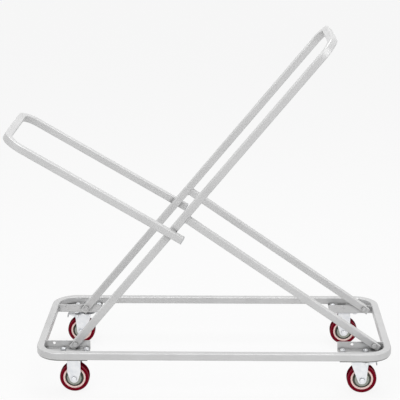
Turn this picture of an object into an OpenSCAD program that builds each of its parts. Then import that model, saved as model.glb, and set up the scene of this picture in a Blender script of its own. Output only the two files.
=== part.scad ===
// Stacking trolley. A closed ring of bent square tube rides on four casters: two fixed
// ones on one diagonal, two swivelling ones with brakes on the other. A long U, the seat
// frame, and a shorter U, the back frame, stand on it as a tilted cradle.

/* [Tube] */
// Side of the square tube that all the frames are bent from
tube = 22; // [20:0.5:26]
// Wall of the square tube
tube_wall = 1.5; // [1:0.1:2.2]
// Outer edge radius of the square tube
tube_edge_r = 3; // [2.6:0.1:4]

/* [Base ring] */
// Overall length of the base ring
ring_length = 1060; // [960:5:1200]
// Overall width of the base ring
ring_width = 510; // [480:5:600]
// Bend radius of the ring's corners, on the tube's centre line
ring_bend_r = 65; // [50:1:80]

/* [Seat frame] */
// Angle of the seat frame above the floor
seat_slope = 50.2; // [46:0.1:54]
// Distance from the foot bolt up the slope to the outer face of the closed end
seat_reach = 1192; // [1000:1:1300]
// Distance between the centre lines of the seat frame's two legs
seat_spacing = 314; // [300:1:330]
// Bend radius of the seat frame's closed end, on the tube's centre line
seat_bend_r = 55; // [40:1:80]

/* [Back frame] */
// Angle of the back frame above the floor
back_slope = 30.6; // [25:0.1:36]
// Distance from the seat frame's foot bolt up the slope to the back frame
back_height = 457; // [400:1:520]
// Distance from the crossing to the outer face of the back frame's closed end
back_reach = 565; // [500:1:620]
// Length of the rails past the crossing
back_overhang = 36; // [30:1:60]
// Bend radius of the back frame's closed end, on the tube's centre line
back_bend_r = 55; // [40:1:80]
// Thickness of the head of the plugs in the rails' open ends
plug_head = 2.5; // [1.5:0.5:4]
// Depth of the plugs inside the rails
plug_depth = 14; // [8:1:20]

/* [Braces] */
// Angle of the two braces above the floor
brace_slope = 35; // [32:0.1:38]

/* [Corner brackets] */
// Length of a bracket's flange, from the side rail
bracket_length = 136; // [136:1:150]
// Thickness of the bracket's sheet
bracket_sheet = 3; // [2:0.5:4]
// Height of the bracket's upturned flange, from the underside
bracket_flange = 27; // [25:1:33]
// Inner radius of the fold
bracket_fold_r = 2; // [1:0.5:3]
// Distance of a bracket's outer edges inside the outer faces of the ring
bracket_inset = 3; // [1:0.5:5]
// Diameter of the holes in the flange
flange_hole_d = 8.5; // [8.2:0.1:9]
// Depth of those holes below the top of the flange
flange_hole_drop = 8; // [7:0.5:9]
// Distance of the outer flange hole from the side rail
outer_hole_inset = 27; // [24:1:32]
// Distance of the inner flange hole from the side rail
inner_hole_inset = 92; // [86:1:98]
// Length of the tube feet past their bolts
foot_tail = 18; // [14:1:20]

/* [Casters] */
// Height of a caster from the floor to the top of its plate
caster_height = 116; // [113:1:127]
// Distance from the ring's left end to the casters there
left_inset = 113; // [110:1:113]
// Distance from the ring's right end to the casters there
right_inset = 109; // [106:1:113]
// Distance from the swivel axis to the axle
trail = 22; // [19:1:24]
// Length of a caster plate
plate_length = 90; // [84:1:96]
// Width of a caster plate
plate_width = 62; // [58:1:66]
// Thickness of a caster plate
plate_sheet = 3; // [2.5:0.5:4]
// Corner radius of a caster plate
plate_corner_r = 6; // [3:1:10]
// Hole spacing of a caster plate along the trolley
plate_hole_x = 69; // [66:1:72]
// Hole spacing of a caster plate across the trolley
plate_hole_y = 38; // [34:1:40]
// Diameter of the holes in a caster plate
plate_hole_d = 8.5; // [8.2:0.1:9]
// Thickness of a fork's sheet
fork_sheet = 3; // [2:0.5:4]
// Inner radius of a fork's folds
fork_fold_r = 3; // [2:0.5:5]
// Space between the two legs of a fork
fork_gap = 40; // [38:0.5:44]
// Width of a fixed fork's straight legs
fixed_leg_width = 40; // [34:1:44]
// Distance from the swivel axis to the leading edge of a swivel fork's legs
leg_lead = 12; // [8:1:14]
// Distance from the swivel axis to the trailing edge of a swivel fork's legs
leg_trail = 40; // [39:1:43]
// Height of those legs' straight edges, above where they start to taper
leg_edge = 8; // [7:1:14]
// Radius of the round crown of a swivel fork
crown_r = 25; // [24:1:28]
// Radius of a fork's end round the axle
boss_r = 13; // [11:0.5:15]
// Space between a swivel caster's plate and the crown of its fork
head_gap = 7; // [6.8:0.1:7.6]
// Radius of the ring of balls in the swivel head
race_r = 17; // [16:0.5:19]
// Diameter of those balls
ball_d = 6; // [5.5:0.1:6.2]
// Number of balls
ball_count = 14; // [8:1:16]
// Diameter of the kingpin
kingpin_d = 10; // [8:0.5:12]
// Diameter of the kingpin's round lower head
kingpin_head_d = 20; // [16:1:24]
// Height of the kingpin's lower head
kingpin_head_h = 4; // [3:0.5:6]

/* [Brakes] */
// Distance from the swivel axis to the brake's pin
pin_trail = 34; // [33:0.5:35]
// Depth of the pin below the top of the fork
pin_drop = 9.5; // [9.3:0.1:9.7]
// Diameter of the pin
pin_d = 4; // [3.5:0.5:4.5]
// Diameter of the pin's riveted heads
pin_head_d = 9; // [8:0.5:10]
// Height of the pin's riveted heads
pin_head_h = 2; // [1:0.5:2.5]
// Thickness of the pedal's sheet
pedal_sheet = 2.5; // [2:0.5:2.5]
// Length of the pedal from the pin to its end
pedal_reach = 32; // [28:1:36]
// Height of the pedal's top above the pin
pedal_rise = 5; // [4.5:0.1:5]
// Length of the pedal on the other side of the pin
pedal_heel = 4; // [3.5:0.5:4]
// Depth of the pedal's turned down end, from its top
pedal_lip = 11; // [8:1:12]
// Inner radius of the bend at that end
pedal_bend_r = 2; // [1:0.5:3]
// Distance from the pin to the bar that is pressed on the tyre
bar_reach = 6; // [5.5:0.1:6.2]
// Diameter of that bar
bar_d = 4; // [3:0.5:4]
// Width of the cheeks' rim round the ends of that bar and round the pin
bar_rim = 0.5; // [0.3:0.1:0.6]
// Angle of that bar below level, when the brake is off
bar_angle = 78; // [70:1:80]

/* [Wheels] */
// Diameter of a wheel
wheel_d = 89; // [84:1:92]
// Width of the tyre
tyre_width = 30; // [26:1:32]
// Thickness of the tyre
tyre_depth = 11; // [9.5:0.5:12]
// Radius of the tyre's shoulders
tyre_shoulder_r = 4.5; // [3:0.5:6]
// Width of the core's rim
rim_width = 28; // [24:1:30]
// Depth of the core's rim, from the tyre inwards
rim_depth = 5.5; // [4.5:0.5:7]
// Thickness of the core's web
core_web = 10; // [6:1:14]
// Width of the core's hub
hub_width = 32; // [30:1:34]
// Diameter of the core's hub
hub_d = 40; // [36:1:42]
// Thickness of a thread guard
guard_sheet = 2; // [1.5:0.5:3]
// Depth of a thread guard below the face of the rim
guard_recess = 2; // [1:0.5:3]
// Outside diameter of a bearing
bearing_d = 28; // [24:1:30]
// Length of a bearing inside the hub
bearing_length = 10; // [8:0.5:12]
// Diameter of a bearing's pressed flange
bearing_flange_d = 43; // [42:0.5:46]
// Thickness of a bearing's pressed flange
bearing_flange = 1.5; // [1:0.5:2]
// Diameter of the bearing's inner ring, where it stands out of the flange
bearing_nose_d = 18; // [16:0.5:22]
// Diameter of the axle sleeve
sleeve_d = 12; // [11:0.5:14]

/* [Fasteners] */
// Thread diameter of all the bolts
bolt_d = 8; // [7:0.5:8]
// Width across flats of the bolt heads and nuts
hex_flats = 13; // [12:0.5:14]
// Height of a bolt head
head_h = 5.3; // [4:0.1:5.3]
// Height of a nut
nut_h = 6.5; // [5:0.5:8]
// Length of thread that stands out of a nut
thread_end = 1; // [0.5:0.5:1.5]
// Outside diameter of a washer
washer_d = 16; // [15:0.5:17]
// Thickness of a washer
washer_h = 1.6; // [1:0.2:2]

/* [Hidden] */
$fn = 64;
// Side of a hexagon in $fn, the gap of a press fit, a running fit and a moving part
hex_sides = 6;
press_gap = 0.05;
running_gap = 0.05;
moving_gap = 0.3;
// Gap that a weld fills, slack of a bolt's bore and overrun of a cut
weld_gap = 0.2;
bore_slack = 0.1;
overrun = 1;

paint = "#C6C8C9";
zinc = "#CDD3DB";
dark_steel = "#8E9296";
polyurethane = "#8E1022";
nylon = "#EBD8CB";
olive_plastic = "#565B4C";
grey_plastic = "#B4B6B8";

// Each corner's name, its side along X and its side along Y
CORNERS = [
    ["front_left", -1, -1],
    ["front_right", 1, -1],
    ["rear_left", -1, 1],
    ["rear_right", 1, 1],
];
// The swivel casters stand on the diagonal from the front right to the rear left
function swivels(corner) = corner[1] * corner[2] < 0;
SWIVEL_CORNERS = [for (corner = CORNERS) if (swivels(corner)) corner];

// Ring: outer half sizes, inner faces of the rails and centre of a corner's bend
ring_x = ring_length / 2;
ring_y = ring_width / 2;
rail_x = ring_x - tube;
rail_y = ring_y - tube;
bend_x = ring_x - tube / 2 - ring_bend_r;
bend_y = ring_y - tube / 2 - ring_bend_r;

// Brackets: levels of the folded sheet, plane of the flange and places of its holes
web_bottom = caster_height;
web_top = web_bottom + bracket_sheet;
flange_top = web_bottom + bracket_flange;
flange_y = seat_spacing / 2;
flange_in = flange_y - bracket_sheet / 2;
bracket_fold = bracket_fold_r + bracket_sheet;
web_in = flange_in + bracket_fold;
web_out_x = ring_x - bracket_inset;
web_out_y = ring_y - bracket_inset;
flange_hole_z = flange_top - flange_hole_drop;
outer_hole_x = rail_x - outer_hole_inset;
inner_hole_x = rail_x - inner_hole_inset;

// Frames: where the back frame crosses, and the braces' length to the seat frame
cross_x = back_height * cos(seat_slope) - inner_hole_x;
cross_z = back_height * sin(seat_slope) + flange_hole_z;
back_spacing = seat_spacing + 2 * tube;
brace_run = (outer_hole_x + inner_hole_x) * sin(seat_slope) / sin(seat_slope + brace_slope);

// Half the width along X of a tube that crosses at a slope
function sloped_half(slope) =
    (tube / 2 - tube_edge_r) * (cos(slope) + sin(slope)) + tube_edge_r;

// The origin lies on the floor in the middle of the trolley's overall length
back_end_x = cross_x - (back_reach - tube / 2) * cos(back_slope) - sloped_half(back_slope);
seat_end_x = (seat_reach - tube / 2) * cos(seat_slope) - inner_hole_x + sloped_half(seat_slope);
origin_x = (min(-ring_x, back_end_x) + max(ring_x, seat_end_x)) / 2;

// Casters: their line across the ring, and the levels of the plate and of the crown
caster_line = (flange_y + rail_y) / 2;
plate_bottom = caster_height - plate_sheet;
crown_top = plate_bottom - head_gap;
crown_bottom = crown_top - fork_sheet;
ball_z = plate_bottom - head_gap + ball_d / 2;
race_width = 2 * ball_d;
race_h = (head_gap - moving_gap) / 2 - moving_gap;

// Wheels: radii from the tread inwards, and the legs' outer faces
wheel_r = wheel_d / 2;
rim_r = wheel_r - tyre_depth;
rim_inner_r = rim_r - rim_depth;
leg_out = fork_gap / 2 + fork_sheet;
bore_d = bolt_d + 2 * bore_slack;

// Brakes: height of the pin, play of the pedal between the legs and its width
pin_z = crown_top - pin_drop;
pedal_play = 1.5;
pedal_width = fork_gap - 2 * pedal_play;
bar_at = bar_reach * [cos(bar_angle), -sin(bar_angle)];
// Turns of the cheeks' corners round the bar
cheek_turns = [215, 245, 275, 305];

function caster_x(corner) = corner[1] < 0 ? left_inset - ring_x : ring_x - right_inset;
function caster_y(corner) = corner[2] * caster_line;
// At rest a swivel caster's wheel trails towards the near end of the ring
function trail_turn(corner) = corner[1] < 0 ? 180 : 0;
function axle_offset(corner) = swivels(corner) ? trail * cos(trail_turn(corner)) : 0;

// Point where a line from the point p touches the circle of radius r round c
function touch(c, r, p, side) =
    let (run = p - c, turn = atan2(run[1], run[0]) + side * acos(r / norm(run)))
    c + r * [cos(turn), sin(turn)];

// Places

// From the middle of the ring to the trolley's own frame
module placed() {
    translate([-origin_x, 0, 0]) children();
}

// From the rear right quarter to any corner
module at_corner(corner) {
    placed()
        mirror([corner[1] < 0 ? 1 : 0, 0, 0])
            mirror([0, corner[2] < 0 ? 1 : 0, 0])
                children();
}

// At a caster's plate centre, on the floor
module at_caster(corner) {
    placed() translate([caster_x(corner), caster_y(corner), 0]) children();
}

// At a swivel axis, on the floor, with +X towards the axle
module at_swivel(corner) {
    at_caster(corner) rotate([0, 0, trail_turn(corner)]) children();
}

// At the middle of a wheel
module at_wheel(corner) {
    at_caster(corner) translate([axle_offset(corner), 0, wheel_r]) children();
}

// At the seat frame's foot bolts, with +X up its slope
module on_seat_slope() {
    placed() translate([-inner_hole_x, 0, flange_hole_z]) rotate([0, -seat_slope, 0]) children();
}

// At the back frame's crossing, with +X up its slope
module on_back_slope() {
    placed() translate([cross_x, 0, cross_z]) rotate([0, back_slope - 180, 0]) children();
}

// At the braces' foot bolts, with +X up their slope
module on_brace_slope() {
    placed() translate([outer_hole_x, 0, flange_hole_z]) rotate([0, brace_slope - 180, 0]) children();
}

// Shared shapes

module rounded_rectangle(size, r) {
    square([size[0], size[1] - 2 * r], center = true);
    square([size[0] - 2 * r, size[1]], center = true);
    for (x = [-1, 1], y = [-1, 1])
        translate([x * (size[0] / 2 - r), y * (size[1] / 2 - r)]) circle(r);
}

module tube_section() {
    difference() {
        rounded_rectangle([tube, tube], tube_edge_r);
        rounded_rectangle([tube - 2 * tube_wall, tube - 2 * tube_wall], tube_edge_r - tube_wall);
    }
}

// Straight tube along +X
module tube_run(length) {
    rotate([0, 90, 0]) linear_extrude(length) tube_section();
}

// Quarter bend round +Z, from the +X side of its centre to the +Y side
module tube_bend(r) {
    rotate_extrude(angle = 90) translate([r, 0]) tube_section();
}

// One leg of a U along +X, with its bend and half of the closed end
module half_u(tail, reach, spacing, bend_r) {
    leg = reach - tube / 2 - bend_r;
    side = spacing / 2 - bend_r;
    translate([-tail, spacing / 2, 0]) tube_run(leg + tail);
    translate([leg, side, 0]) tube_bend(bend_r);
    translate([leg + bend_r, 0, 0]) rotate([0, 0, 90]) tube_run(side);
}

module u_frame(tail, reach, spacing, bend_r) {
    half_u(tail, reach, spacing, bend_r);
    mirror([0, 1, 0]) half_u(tail, reach, spacing, bend_r);
}

// Room in the foot of a tube for a bracket's flange, fold and web
module bracket_room() {
    room_in = flange_in - weld_gap;
    low = web_bottom - 2 * tube;
    for (y = [0, 1])
        mirror([0, y, 0]) {
            translate([-ring_x, room_in, low])
                cube([ring_length, bracket_fold + weld_gap, flange_top + weld_gap - low]);
            translate([-ring_x, room_in, low]) cube([ring_length, 2 * tube, web_top - low]);
        }
}

// Bore across both legs of a frame
module cross_bore(d, spacing) {
    rotate([90, 0, 0]) cylinder(h = spacing + 2 * tube, d = d, center = true);
}

module hexagon(h) {
    cylinder(h = h, d = hex_flats / cos(180 / hex_sides), $fn = hex_sides);
}

// Bolt with the underside of its head at the origin and its thread along +Z
module bolt(grip) {
    translate([0, 0, -head_h]) hexagon(head_h);
    cylinder(h = grip + nut_h + thread_end, d = bolt_d);
}

module nut() {
    difference() {
        hexagon(nut_h);
        translate([0, 0, -overrun]) cylinder(h = nut_h + 2 * overrun, d = bolt_d + 2 * press_gap);
    }
}

// Frames

module base_ring() {
    color(paint) placed() translate([0, 0, web_top + tube / 2]) {
        for (y = [0, 1])
            mirror([0, y, 0]) translate([-bend_x, ring_y - tube / 2, 0]) tube_run(2 * bend_x);
        for (x = [0, 1])
            mirror([x, 0, 0])
                translate([ring_x - tube / 2, -bend_y, 0]) rotate([0, 0, 90]) tube_run(2 * bend_y);
        for (x = [0, 1], y = [0, 1])
            mirror([x, 0, 0]) mirror([0, y, 0]) translate([bend_x, bend_y, 0]) tube_bend(ring_bend_r);
    }
}

module seat_frame() {
    color(paint) difference() {
        on_seat_slope() u_frame(foot_tail, seat_reach, seat_spacing, seat_bend_r);
        placed() bracket_room();
        on_seat_slope() cross_bore(flange_hole_d, seat_spacing);
    }
}

module back_frame() {
    color(paint) on_back_slope() u_frame(back_overhang, back_reach, back_spacing, back_bend_r);
}

module rail_plugs() {
    inner = tube - 2 * tube_wall - 2 * press_gap;
    color(grey_plastic) on_back_slope() for (y = [-1, 1])
        translate([-back_overhang, y * back_spacing / 2, 0]) rotate([0, 90, 0]) {
            translate([0, 0, -plug_head]) linear_extrude(plug_head)
                rounded_rectangle([tube, tube], tube_edge_r);
            linear_extrude(plug_depth) rounded_rectangle([inner, inner], tube_edge_r - tube_wall);
        }
}

// A brace is cut to lie along the underside of the seat frame's leg
module brace(side) {
    color(paint) difference() {
        on_brace_slope() translate([-foot_tail, side * flange_y, 0]) tube_run(brace_run + foot_tail);
        on_seat_slope() translate([0, -ring_y, -tube / 2]) cube([seat_reach, ring_width, seat_reach]);
        placed() bracket_room();
        on_brace_slope() cross_bore(flange_hole_d, seat_spacing);
    }
}

module foot_fasteners(from) {
    for (x = [-inner_hole_x, outer_hole_x], y = [0, 1])
        placed() mirror([0, y, 0])
            translate([x, flange_y + from, flange_hole_z]) rotate([90, 0, 0]) children();
}

module foot_bolts() {
    color(zinc) foot_fasteners(tube / 2) bolt(tube);
}

module foot_nuts() {
    color(zinc) foot_fasteners(-tube / 2) nut();
}

// Corner brackets

// The folded sheet in section, across the trolley and upwards
module bracket_section() {
    translate([web_in, web_bottom]) square([web_out_y - web_in, bracket_sheet]);
    translate([flange_in, web_bottom + bracket_fold]) square([bracket_sheet, bracket_flange - bracket_fold]);
    translate([web_in, web_bottom + bracket_fold]) intersection() {
        difference() {
            circle(bracket_fold);
            circle(bracket_fold_r);
        }
        translate([-bracket_fold, -bracket_fold]) square(bracket_fold);
    }
}

// What the ring's round corner takes off the web
module bracket_corner() {
    outer_r = ring_bend_r + tube / 2 - bracket_inset;
    translate([bend_x, bend_y, web_bottom - overrun]) linear_extrude(bracket_sheet + 2 * overrun)
        difference() {
            square(outer_r + overrun);
            circle(outer_r);
        }
}

// The web lies under the ring's corner, and the flange ends at the side rail
module bracket(corner) {
    flange_end = rail_x - weld_gap;
    color(paint) at_corner(corner) difference() {
        union() {
            translate([rail_x - bracket_length, 0, 0])
                rotate([90, 0, 90]) linear_extrude(bracket_length - weld_gap) bracket_section();
            translate([flange_end, web_in, web_bottom])
                cube([web_out_x - flange_end, web_out_y - web_in, bracket_sheet]);
        }
        bracket_corner();
        for (x = [outer_hole_x, inner_hole_x])
            translate([x, flange_y, flange_hole_z]) rotate([90, 0, 0])
                cylinder(h = bracket_sheet + 2 * overrun, d = flange_hole_d, center = true);
        translate([abs(caster_x(corner)), caster_line, web_bottom])
            plate_holes(plate_hole_d, bracket_sheet);
    }
}

// Fasteners of the caster plates

module plate_pattern() {
    for (x = [-1, 1], y = [-1, 1])
        translate([x * plate_hole_x / 2, y * plate_hole_y / 2, 0]) children();
}

module plate_holes(d, depth) {
    plate_pattern() translate([0, 0, -overrun]) cylinder(h = depth + 2 * overrun, d = d);
}

module caster_bolts() {
    color(zinc) for (corner = CORNERS)
        at_caster(corner) translate([0, 0, plate_bottom])
            plate_pattern() bolt(plate_sheet + bracket_sheet + washer_h);
}

module caster_washers() {
    color(zinc) for (corner = CORNERS)
        at_caster(corner) translate([0, 0, web_top]) plate_pattern() difference() {
            cylinder(h = washer_h, d = washer_d);
            translate([0, 0, -overrun]) cylinder(h = washer_h + 2 * overrun, d = bore_d);
        }
}

module caster_nuts() {
    color(zinc) for (corner = CORNERS)
        at_caster(corner) translate([0, 0, web_top + washer_h]) plate_pattern() nut();
}

// Casters

// Half of a race round the swivel axis, from its flat side up to its groove
module race(gap) {
    rotate_extrude() difference() {
        translate([race_r - race_width / 2, 0]) square([race_width, race_h]);
        translate([race_r, ball_d / 2]) circle(ball_d / 2 + gap);
    }
}

module plate(corner) {
    color(zinc) at_caster(corner) difference() {
        union() {
            translate([0, 0, plate_bottom]) linear_extrude(plate_sheet)
                rounded_rectangle([plate_length, plate_width], plate_corner_r);
            if (swivels(corner))
                translate([0, 0, plate_bottom]) mirror([0, 0, 1])
                    race(moving_gap + (head_gap - ball_d) / 2);
        }
        translate([0, 0, plate_bottom]) plate_holes(plate_hole_d, plate_sheet);
        if (swivels(corner))
            translate([0, 0, plate_bottom - overrun])
                cylinder(h = plate_sheet + 2 * overrun, d = kingpin_d + 2 * press_gap);
    }
}

module kingpin(corner) {
    head_top = crown_bottom - moving_gap;
    color(dark_steel) at_caster(corner) {
        translate([0, 0, head_top]) cylinder(h = caster_height - head_top, d = kingpin_d);
        translate([0, 0, head_top - kingpin_head_h]) cylinder(h = kingpin_head_h, d = kingpin_head_d);
    }
}

module balls(corner) {
    color(dark_steel) at_caster(corner) for (i = [0:ball_count - 1])
        rotate([0, 0, i * 360 / ball_count]) translate([race_r, 0, ball_z]) sphere(d = ball_d);
}

// A fork's sheet in section, across the wheel and upwards
module fork_section(top) {
    fold = fork_fold_r + fork_sheet;
    translate([fold - leg_out, top - fork_sheet]) square([2 * (leg_out - fold), fork_sheet]);
    for (side = [0, 1])
        mirror([side, 0]) {
            translate([leg_out - fork_sheet, 0]) square([fork_sheet, top - fold]);
            translate([leg_out - fold, top - fold]) intersection() {
                difference() {
                    circle(fold);
                    circle(fork_fold_r);
                }
                square(fold);
            }
        }
}

// A fork from the side: straight edges down to the shoulder, then a taper to the axle
module fork_outline(top, shoulder, from, to, axle_x) {
    axle_at = [axle_x, wheel_r];
    left = [from, shoulder];
    right = [to, shoulder];
    polygon([
        [left[0], top],
        left,
        touch(axle_at, boss_r, left, 1),
        touch(axle_at, boss_r, right, -1),
        right,
        [right[0], top],
    ]);
    translate(axle_at) circle(boss_r);
}

module bent_fork(top, shoulder, from, to, axle_x) {
    difference() {
        intersection() {
            rotate([90, 0, 90]) linear_extrude(plate_length, center = true) fork_section(top);
            rotate([90, 0, 0]) linear_extrude(plate_width, center = true)
                fork_outline(top, shoulder, from, to, axle_x);
        }
        translate([axle_x, 0, wheel_r]) rotate([90, 0, 0])
            cylinder(h = plate_width, d = bore_d, center = true);
    }
}

module fixed_fork() {
    half = fixed_leg_width / 2;
    bent_fork(plate_bottom, wheel_r + half, -half, half, 0);
}

// Legs that trail behind a round crown, which carries the lower race
module swivel_fork() {
    difference() {
        union() {
            bent_fork(crown_top, crown_top - leg_edge, -leg_lead, leg_trail, trail);
            translate([0, 0, crown_bottom]) cylinder(h = fork_sheet, r = crown_r);
            translate([0, 0, crown_top]) race(press_gap);
        }
        translate([0, 0, crown_bottom - overrun])
            cylinder(h = fork_sheet + 2 * overrun, d = kingpin_d + 2 * running_gap);
        at_pin() across(plate_width) circle(d = pin_d + 2 * press_gap);
    }
}

module fork(corner) {
    color(zinc)
        if (swivels(corner)) at_swivel(corner) swivel_fork();
        else at_caster(corner) fixed_fork();
}

// Brakes of the swivel casters

// From the brake's pin to its fork
module at_pin() {
    translate([pin_trail, 0, pin_z]) children();
}

// A shape seen from the side, as deep as the given width across the wheel
module across(width) {
    rotate([90, 0, 0]) linear_extrude(width, center = true) children();
}

// The pedal's sheet from the side: a level top with a turned down end
module pedal_outline() {
    bend = pedal_bend_r + pedal_sheet;
    end = pedal_reach - bend;
    translate([-pedal_heel, pedal_rise - pedal_sheet]) square([end + pedal_heel, pedal_sheet]);
    translate([end, pedal_rise - bend]) intersection() {
        difference() {
            circle(bend);
            circle(pedal_bend_r);
        }
        square(bend);
    }
    translate([pedal_reach - pedal_sheet, pedal_rise - pedal_lip]) square([pedal_sheet, pedal_lip - bend]);
}

// One of the pedal's two cheeks from the side, from the pin down to the bar and out under the top
module cheek_outline() {
    corner_r = bar_d / 2 + bar_rim;
    top = pedal_rise - pedal_sheet / 2;
    difference() {
        polygon([
            [-pedal_heel, top],
            [-pedal_heel, -pin_d / 2 - bar_rim],
            for (turn = cheek_turns) bar_at + corner_r * [cos(turn), sin(turn)],
            [pedal_reach - pedal_sheet - 2 * pedal_bend_r, top],
        ]);
        circle(d = pin_d + 2 * running_gap);
    }
}

module brake(corner) {
    cheek_y = (pedal_width - pedal_sheet) / 2;
    color(zinc) at_swivel(corner) at_pin() {
        across(pedal_width) pedal_outline();
        for (side = [-1, 1])
            translate([0, side * cheek_y, 0]) across(pedal_sheet) cheek_outline();
        across(2 * cheek_y) translate(bar_at) circle(d = bar_d);
    }
}

module brake_pin(corner) {
    color(zinc) at_swivel(corner) at_pin() {
        across(2 * leg_out) circle(d = pin_d);
        for (side = [-1, 1])
            translate([0, side * (leg_out + pin_head_h / 2), 0]) across(pin_head_h) circle(d = pin_head_d);
    }
}

// Wheels, each a profile of radius and width turned round the axle

module turned() {
    rotate([-90, 0, 0]) rotate_extrude() children();
}

module tyre(corner) {
    round_r = wheel_r - tyre_shoulder_r;
    color(polyurethane) at_wheel(corner) turned() {
        translate([rim_r, -tyre_width / 2]) square([round_r - rim_r, tyre_width]);
        translate([rim_r, tyre_shoulder_r - tyre_width / 2])
            square([tyre_depth, tyre_width - 2 * tyre_shoulder_r]);
        for (side = [-1, 1])
            translate([round_r, side * (tyre_width / 2 - tyre_shoulder_r)]) circle(tyre_shoulder_r);
    }
}

module core(corner) {
    bore_r = bearing_d / 2 + press_gap;
    color(nylon) at_wheel(corner) turned() {
        translate([rim_inner_r, -rim_width / 2]) square([rim_depth - press_gap, rim_width]);
        translate([bore_r, -core_web / 2]) square([rim_r - rim_depth / 2 - bore_r, core_web]);
        translate([bore_r, -hub_width / 2]) square([hub_d / 2 - bore_r, hub_width]);
    }
}

module guards(corner) {
    guard_r = hub_d / 2 + press_gap;
    color(olive_plastic) at_wheel(corner) for (side = [0, 1])
        mirror([0, side, 0]) turned()
            translate([guard_r, rim_width / 2 - guard_recess - guard_sheet])
                square([rim_inner_r - press_gap - guard_r, guard_sheet]);
}

module bearings(corner) {
    bore_r = sleeve_d / 2 + running_gap;
    face = hub_width / 2;
    color(dark_steel) at_wheel(corner) for (side = [0, 1])
        mirror([0, side, 0]) turned() {
            translate([bore_r, face - bearing_length]) square([bearing_d / 2 - bore_r, bearing_length]);
            translate([bore_r, face]) square([bearing_flange_d / 2 - bore_r, bearing_flange]);
            translate([bore_r, face])
                square([bearing_nose_d / 2 - bore_r, fork_gap / 2 - moving_gap - face]);
        }
}

module sleeve(corner) {
    color(dark_steel) at_wheel(corner) turned()
        translate([bolt_d / 2 + press_gap, -fork_gap / 2])
            square([(sleeve_d - bolt_d) / 2 - press_gap, fork_gap]);
}

module axle(corner) {
    color(zinc) at_wheel(corner) translate([0, -leg_out, 0]) rotate([-90, 0, 0]) bolt(2 * leg_out);
}

module axle_nut(corner) {
    color(zinc) at_wheel(corner) translate([0, leg_out, 0]) rotate([-90, 0, 0]) nut();
}

base_ring();
seat_frame();
back_frame();
rail_plugs();
brace(-1);  // brace_front
brace(1);  // brace_rear
foot_bolts();
foot_nuts();
caster_bolts();
caster_washers();
caster_nuts();
for (corner = CORNERS) {
    bracket(corner);
    plate(corner);
    fork(corner);
    tyre(corner);
    core(corner);
    guards(corner);
    bearings(corner);
    sleeve(corner);
    axle(corner);
    axle_nut(corner);
}
for (corner = SWIVEL_CORNERS) {
    kingpin(corner);
    balls(corner);
    brake(corner);
    brake_pin(corner);
}
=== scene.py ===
"""Finishes of a stacking trolley: painted tube frames, plated casters and red wheels.

Laid out as an add-on and run as a script. The CAD solids are the frame, and every piece
made here sits where they are.
"""

import math

import bmesh
import bpy
from mathutils import Matrix, Vector


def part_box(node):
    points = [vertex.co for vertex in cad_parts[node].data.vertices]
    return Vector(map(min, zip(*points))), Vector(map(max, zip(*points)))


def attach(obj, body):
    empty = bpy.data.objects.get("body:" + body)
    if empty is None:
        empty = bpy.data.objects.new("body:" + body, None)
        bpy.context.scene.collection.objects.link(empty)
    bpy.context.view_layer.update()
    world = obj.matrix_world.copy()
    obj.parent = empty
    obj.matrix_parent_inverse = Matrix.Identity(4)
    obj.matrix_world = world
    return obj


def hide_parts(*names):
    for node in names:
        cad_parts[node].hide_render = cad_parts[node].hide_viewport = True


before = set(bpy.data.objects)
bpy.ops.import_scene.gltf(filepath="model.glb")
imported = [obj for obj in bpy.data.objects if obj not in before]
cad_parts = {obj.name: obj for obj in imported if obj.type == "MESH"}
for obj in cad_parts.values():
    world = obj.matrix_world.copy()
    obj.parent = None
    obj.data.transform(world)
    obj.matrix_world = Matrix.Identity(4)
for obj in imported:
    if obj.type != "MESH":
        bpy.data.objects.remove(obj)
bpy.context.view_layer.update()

bl_info = {
    "name": "Stacking trolley",
    "version": (1, 0, 0),
    "blender": (4, 5, 0),
    "location": "View3D > Sidebar > Trolley",
    "description": "Finishes and details of a tube trolley on four casters",
    "category": "Object",
}

MM = 0.001
CORNERS = ("front_left", "front_right", "rear_left", "rear_right")
SWIVEL_CORNERS = ("front_right", "rear_left")
FIXED_CORNERS = ("front_left", "rear_right")
TUBE_FRAMES = ("base_ring", "seat_frame", "back_frame", "brace_front", "brace_rear")
FRAME_BODY = "frame"
BEAD_TREE, FASTENER_TREE = "weld_bead", "hex_fasteners"

# Material and slot of each finish, and the plugs' material
PAINT = ("powder_coated_steel", "painted_steel")
ZINC = ("zinc_plated_steel", "zinc_plate")
OILED = ("oiled_steel", "bare_steel")
TYRE = ("cast_polyurethane", "polyurethane_tyre")
CORE = ("moulded_nylon", "nylon_core")
GUARD = ("moulded_polypropylene", "guard_plastic")
PLUG = "moulded_polyethylene"

# Sizes of the solids that their boxes don't tell
SHEET = 3 * MM
FORK_CROWN = 10 * MM
CASTER_HOLES = (69 * MM, 38 * MM)
FLANGE_HOLE_DROP = 8 * MM
SEAT_FOOT_INSET, BRACE_FOOT_INSET = 92 * MM, 27 * MM
LAP_FROM_FOOT = 457 * MM
SEAT_SLOPE, BACK_SLOPE, BRACE_SLOPE = (math.radians(a) for a in (50.2, 30.6, 35.0))

# Edges that turn by more degrees than this look sharp
SHARP = 32

# Random seeds of the spin of bolts and nuts
CASTER_SEEDS, FOOT_SEEDS, AXLE_SEEDS = (3, 5), (7, 11), (20, 30)

# Name, place in metres, side of its square in metres and power in watts of each lamp
LAMPS = (
    ("key", (-1.2, -2.8, 2.6), 2.4, 42),
    ("fill", (2.4, -2.6, 1.8), 2.2, 26),
    ("top", (0.2, 0.4, 3.4), 2.4, 54),
)
LAMP_AIM = Vector((0, 0, 0.4))
WHITE = (1, 1, 1, 1)


def linear(hex_text):
    """Linear RGBA of an sRGB hex colour."""
    parts = [int(hex_text[i : i + 2], 16) / 255 for i in (1, 3, 5)]
    low, gain = 0.04045, 12.92
    return [c / gain if c <= low else ((c + 0.055) / 1.055) ** 2.4 for c in parts] + [1.0]


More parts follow.
